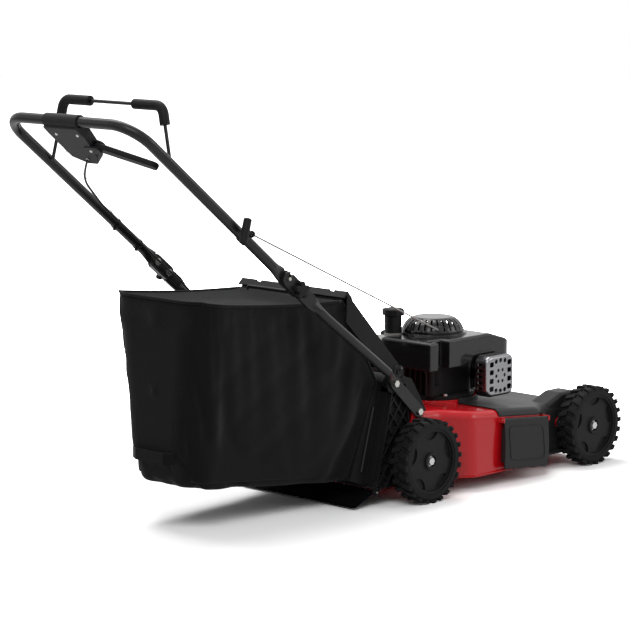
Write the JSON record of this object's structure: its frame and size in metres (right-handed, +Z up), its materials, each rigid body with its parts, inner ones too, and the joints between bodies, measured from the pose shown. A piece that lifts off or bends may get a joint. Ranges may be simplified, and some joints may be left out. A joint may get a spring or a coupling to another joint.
{
  "type": "walk-behind lawn mower",
  "caption": "Walk-behind rotary lawn mower with a red steel deck, rear grass bag, folding handle and height-adjustable wheels.",
  "frame": {"origin": "centre of the bounding box's base, on the ground", "axes": "+X forward, along the mower's length; +Y to the user's left; +Z up"},
  "size_m": [1.653, 0.538, 0.9965],
  "materials": {
    "red_paint": "gloss",
    "black_paint": "satin",
    "black_plastic": "satin",
    "gloss_black": "gloss",
    "grey_plastic": "matte",
    "pale_plastic": "satin",
    "tyre_rubber": "matte",
    "soft_rubber": "matte",
    "bag_cloth": "matte",
    "rope_cord": "matte",
    "zinc_steel": "satin",
    "bright_steel": "satin",
    "cast_aluminium": "satin",
    "black_casting": "matte",
    "dark_steel": "matte"
  },
  "bodies": {
    "chassis": {"deck_shell": "red_paint", "rear_housing": "black_plastic", "front_cover": "black_plastic", "lower_handle_right": "black_paint", "lower_handle_left": "black_paint", "crankcase": "black_casting", "cylinder_head": "black_casting", "spark_plug": "soft_rubber", "blower_shroud": "gloss_black", "recoil_cover": "gloss_black", "fuel_tank": "pale_plastic", "carburettor": "black_plastic", "air_filter": "black_plastic", "muffler": "black_paint", "muffler_guard": "bright_steel", "hinge_rods": "zinc_steel", "deck_bolts": "zinc_steel", "handle_hooks": "black_plastic", "gearbox": "black_paint", "drive_belt": "soft_rubber", "cable_lower": "soft_rubber", "starter_rope": "rope_cord"},
    "rotor": {"crankshaft": "dark_steel", "flywheel": "cast_aluminium", "blade": "black_paint"},
    "starter_reel": {"starter_pulley": "black_plastic"},
    "side_door": {"side_discharge_door": "black_plastic"},
    "back_door": {"rear_door": "black_plastic"},
    "trailing_flap": {"rear_flap": "soft_rubber"},
    "bag": {"bag_fabric": "bag_cloth", "bag_frame": "black_plastic", "bag_rods": "zinc_steel", "bag_strap": "bag_cloth"},
    "upper_frame": {"upper_handle": "black_paint", "fold_bolts": "zinc_steel", "control_bracket": "grey_plastic", "rope_guide": "black_paint", "cable_upper": "soft_rubber", "cable_ties": "black_plastic"},
    "knob_right": {"star_knob_right": "black_plastic"},
    "knob_left": {"star_knob_left": "black_plastic"},
    "bail_bar": {"bail": "black_paint", "bail_grips": "soft_rubber"},
    "drive_control": {"drive_lever": "black_plastic"},
    "pull_grip": {"starter_grip": "black_plastic", "rope_tail": "rope_cord"},
    "tank_cap": {"fuel_cap": "black_plastic"},
    "dipstick": {"oil_cap": "black_plastic"},
    "adjuster_rear_right": {"height_adjuster_rear_right": "zinc_steel"},
    "wheel_rear_right": {"tyre_rear_right": "tyre_rubber", "rim_rear_right": "black_plastic"},
    "adjuster_rear_left": {"height_adjuster_rear_left": "zinc_steel"},
    "wheel_rear_left": {"tyre_rear_left": "tyre_rubber", "rim_rear_left": "black_plastic"},
    "adjuster_front_right": {"height_adjuster_front_right": "zinc_steel"},
    "wheel_front_right": {"tyre_front_right": "tyre_rubber", "rim_front_right": "black_plastic"},
    "adjuster_front_left": {"height_adjuster_front_left": "zinc_steel"},
    "wheel_front_left": {"tyre_front_left": "tyre_rubber", "rim_front_left": "black_plastic"}
  },
  "joints": [
    {"name": "adjust_rear_right", "type": "hinge", "parent": "chassis", "child": "adjuster_rear_right", "pos_m": [0.16995, -0.21, 0.1116], "axis": [0, -1, 0], "range_deg": [-5, 30]},
    {"name": "roll_rear_right", "type": "hinge", "parent": "adjuster_rear_right", "child": "wheel_rear_right", "pos_m": [0.09495, -0.244, 0.1016], "axis": [0, 1, 0], "continuous": true},
    {"name": "adjust_rear_left", "type": "hinge", "parent": "chassis", "child": "adjuster_rear_left", "pos_m": [0.16995, 0.21, 0.1116], "axis": [0, -1, 0], "range_deg": [-5, 30]},
    {"name": "roll_rear_left", "type": "hinge", "parent": "adjuster_rear_left", "child": "wheel_rear_left", "pos_m": [0.09495, 0.244, 0.1016], "axis": [0, 1, 0], "continuous": true},
    {"name": "adjust_front_right", "type": "hinge", "parent": "chassis", "child": "adjuster_front_right", "pos_m": [0.64995, -0.21, 0.1116], "axis": [0, 1, 0], "range_deg": [-5, 30]},
    {"name": "roll_front_right", "type": "hinge", "parent": "adjuster_front_right", "child": "wheel_front_right", "pos_m": [0.72495, -0.244, 0.1016], "axis": [0, 1, 0], "continuous": true},
    {"name": "adjust_front_left", "type": "hinge", "parent": "chassis", "child": "adjuster_front_left", "pos_m": [0.64995, 0.21, 0.1116], "axis": [0, 1, 0], "range_deg": [-5, 30]},
    {"name": "roll_front_left", "type": "hinge", "parent": "adjuster_front_left", "child": "wheel_front_left", "pos_m": [0.72495, 0.244, 0.1016], "axis": [0, 1, 0], "continuous": true},
    {"name": "spin_rotor", "type": "hinge", "parent": "chassis", "child": "rotor", "pos_m": [0.39295, 0, 0.12], "axis": [0, 0, 1], "continuous": true},
    {"name": "pull_starter", "type": "slide", "parent": "upper_frame", "child": "pull_grip", "axis": [-0.9122, -0.1959, 0.3599], "range_m": [0, 0.6]},
    {"name": "turn_reel", "type": "hinge", "parent": "chassis", "child": "starter_reel", "pos_m": [0.39295, 0, 0.368], "axis": [0, 0, 1], "range_deg": [0, 1400]},
    {"name": "lift_side_door", "type": "hinge", "parent": "chassis", "child": "side_door", "pos_m": [0.37095, -0.253, 0.16244], "axis": [0.9951, 0, -0.0993], "range_deg": [-80, 0], "stiffness_Nm_per_rad": 0.1, "springref_deg": 28.65},
    {"name": "open_back_door", "type": "hinge", "parent": "chassis", "child": "back_door", "pos_m": [0.06995, 0, 0.32], "axis": [0, 1, 0], "range_deg": [0, 30], "deforming": ["starter_rope"]},
    {"name": "swing_flap", "type": "hinge", "parent": "chassis", "child": "trailing_flap", "pos_m": [-0.02505, 0, 0.034], "axis": [0, 1, 0], "range_deg": [0, 30]},
    {"name": "draw_bag", "type": "slide", "parent": "chassis", "child": "bag", "axis": [-1, 0, 0], "range_m": [0, 0.25]},
    {"name": "fold_handle", "type": "hinge", "parent": "chassis", "child": "upper_frame", "pos_m": [-0.32005, 0, 0.554], "axis": [0, 1, 0], "range_deg": [0, 135], "deforming": ["starter_rope", "cable_upper", "cable_lower"]},
    {"name": "turn_knob_right", "type": "hinge", "parent": "chassis", "child": "knob_right", "pos_m": [-0.32005, -0.232, 0.554], "axis": [0, 1, 0], "continuous": true},
    {"name": "turn_knob_left", "type": "hinge", "parent": "chassis", "child": "knob_left", "pos_m": [-0.32005, 0.232, 0.554], "axis": [0, 1, 0], "continuous": true},
    {"name": "close_bail", "type": "hinge", "parent": "upper_frame", "child": "bail_bar", "pos_m": [-0.68405, 0, 0.84831], "axis": [0, -1, 0], "range_deg": [0, 50], "stiffness_Nm_per_rad": 2, "springref_deg": -28.65},
    {"name": "squeeze_lever", "type": "hinge", "parent": "upper_frame", "child": "drive_control", "pos_m": [-0.75731, -0.044, 0.8934], "axis": [-0.6287, 0, -0.7776], "range_deg": [0, 20], "stiffness_Nm_per_rad": 0.8, "springref_deg": -11.46},
    {"name": "unscrew_cap", "type": "hinge", "parent": "chassis", "child": "tank_cap", "pos_m": [0.30095, 0.052, 0.405], "axis": [0, 0, 1], "continuous": true},
    {"name": "turn_dipstick", "type": "hinge", "parent": "chassis", "child": "dipstick", "pos_m": [0.30495, -0.07, 0.27], "axis": [0, 0, 1], "continuous": true}
  ],
  "couplings": [
    {"joint": "turn_reel", "follows": "pull_starter", "rad_per_m": 38}
  ]
}
